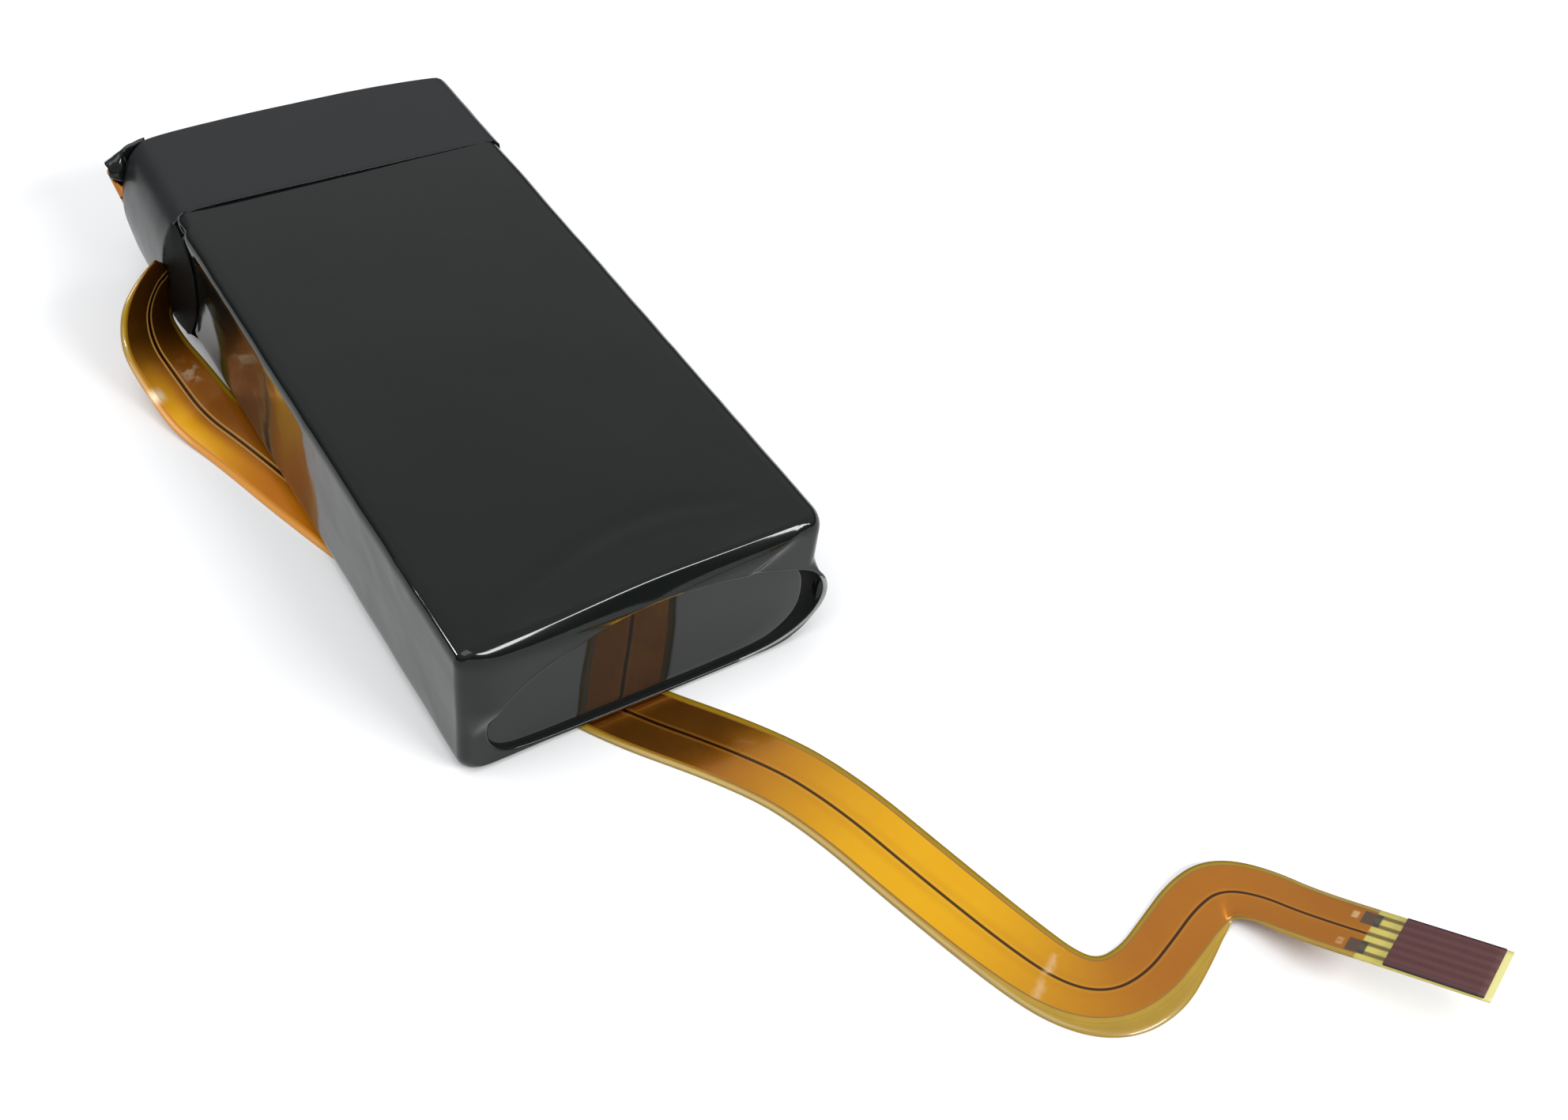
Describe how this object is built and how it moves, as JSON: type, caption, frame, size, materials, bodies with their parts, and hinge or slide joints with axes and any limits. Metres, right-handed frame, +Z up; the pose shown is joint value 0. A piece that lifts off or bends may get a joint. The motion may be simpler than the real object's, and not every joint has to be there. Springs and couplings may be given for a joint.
{
  "type": "flat lithium polymer battery pack",
  "caption": "Flat oblong pouch-cell battery pack in black shrink film with a taped end and a flat flexible lead that loops beneath it to a stiffened tail.",
  "frame": {"origin": "centre of the pack's footprint, on the surface it lies on; the free lead is left out", "axes": "+Z up, +Y along the pack's length from its film-mouthed front to its taped rear, +X to the right seen from the front"},
  "size_m": [0.0669, 0.1353, 0.0152],
  "materials": {
    "shrink_film": "glossy black heat-shrink film",
    "end_plate": "glossy black sheet",
    "black_tape": "satin black adhesive tape",
    "foam_pad": "white double-sided bonding pad",
    "nickel": "nickel strip",
    "fuse_body": "moulded body",
    "circuit_board": "green solder mask on glass laminate",
    "chip_body": "moulded black package",
    "capacitor_ceramic": "fired ceramic body",
    "solder": "tin solder",
    "insulating_paper": "grey-green insulating paper",
    "flex_lead": "amber polyimide over copper, pale yellow at the edges",
    "stiffener_film": "dark purple-brown stiffening film",
    "gold_contacts": "gold-plated contact strips",
    "pouch_foil": "aluminium laminate foil",
    "anode": "graphite on copper foil",
    "cathode": "oxide on aluminium foil",
    "separator_film": "white porous film",
    "aluminium_tab": "aluminium strip",
    "sealant_film": "tab sealing film"
  },
  "bodies": {
    "root": {"heat_shrink_sleeve": "shrink_film", "front_end_plate": "end_plate", "rear_tape_band": "black_tape", "side_tape_tongue": "black_tape", "rear_end_film": "shrink_film", "rear_corner_flap": "shrink_film", "cell_bonding_pad": "foam_pad", "series_link_strip": "nickel", "balance_tap_strip": "nickel", "thermal_fuse": "fuse_body", "positive_lead_strips": "nickel", "negative_lead_strip": "nickel", "protection_board": "circuit_board", "power_transistors": "chip_body", "protection_chip": "chip_body", "chip_resistors": "chip_body", "chip_capacitors": "capacitor_ceramic", "thermistor": "capacitor_ceramic", "lead_solder_joints": "solder", "board_wrap": "insulating_paper", "lead_held_run": "flex_lead", "lead_side_loop": "flex_lead", "lead_under_run": "flex_lead", "lead_front_run": "flex_lead", "lead_tail": "flex_lead", "tail_stiffener": "stiffener_film", "contact_fingers": "gold_contacts", "lower_cell_pouch": "pouch_foil", "lower_cell_anode_sheets": "anode", "lower_cell_cathode_sheets": "cathode", "lower_cell_separators": "separator_film", "lower_cell_positive_tab": "aluminium_tab", "lower_cell_negative_tab": "nickel", "lower_cell_tab_sealants": "sealant_film", "upper_cell_pouch": "pouch_foil", "upper_cell_anode_sheets": "anode", "upper_cell_cathode_sheets": "cathode", "upper_cell_separators": "separator_film", "upper_cell_positive_tab": "aluminium_tab", "upper_cell_negative_tab": "nickel", "upper_cell_tab_sealants": "sealant_film"}
  },
  "joints": []
}
